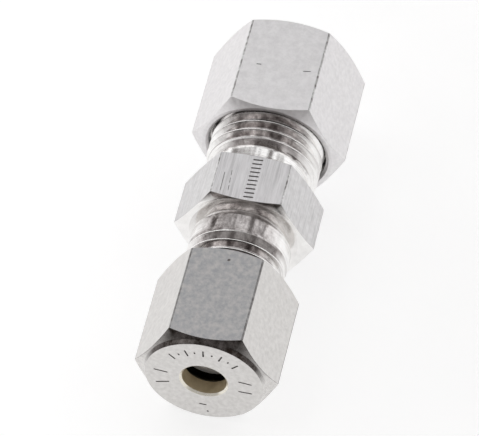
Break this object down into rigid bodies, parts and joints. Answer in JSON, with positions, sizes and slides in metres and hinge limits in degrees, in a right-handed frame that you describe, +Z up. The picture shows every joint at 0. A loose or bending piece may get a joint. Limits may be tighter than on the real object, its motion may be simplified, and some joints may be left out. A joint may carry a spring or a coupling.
{
  "type": "compression tube union",
  "caption": "Straight reducing tube union: hexagonal body with a threaded stud each side, union nuts of two sizes and cutting rings that grip and seal plain tube.",
  "frame": {"origin": "on the tube axis, halfway along the assembled length", "axes": "+X along the tube axis from the 6 mm end to the 8 mm end, +Z up out of a flat of each nut"},
  "size_m": [0.0564, 0.022, 0.0192],
  "materials": {
    "body_steel": "turned and drawn stainless steel, bright, with fine lines along the flats",
    "small_nut_steel": "tumbled stainless steel, satin, slightly darker and warmer",
    "large_nut_steel": "tumbled stainless steel, satin, pale",
    "ring_steel": "finely turned stainless steel"
  },
  "bodies": {
    "body": {"union_body": "body_steel"},
    "small_ring": {"small_cutting_ring": "ring_steel"},
    "small_nut": {"small_nut": "small_nut_steel"},
    "large_ring": {"large_cutting_ring": "ring_steel"},
    "large_nut": {"large_nut": "large_nut_steel"}
  },
  "joints": [
    {"name": "small_ring_slide", "type": "slide", "parent": "body", "child": "small_ring", "axis": [1, 0, 0], "range_m": [-0.00175, 0.0025]},
    {"name": "small_nut_turn", "type": "hinge", "parent": "small_ring", "child": "small_nut", "pos_m": [-0.02, 0, 0], "axis": [1, 0, 0], "range_deg": [-425, 605]},
    {"name": "large_ring_slide", "type": "slide", "parent": "body", "child": "large_ring", "axis": [-1, 0, 0], "range_m": [-0.00275, 0.002]},
    {"name": "large_nut_turn", "type": "hinge", "parent": "large_ring", "child": "large_nut", "pos_m": [0.02, 0, 0], "axis": [-1, 0, 0], "range_deg": [-665, 485]}
  ],
  "couplings": [
    {"joint": "small_nut_turn", "follows": "small_ring_slide", "rad_per_m": 4188.8},
    {"joint": "large_nut_turn", "follows": "large_ring_slide", "rad_per_m": 4188.8}
  ]
}
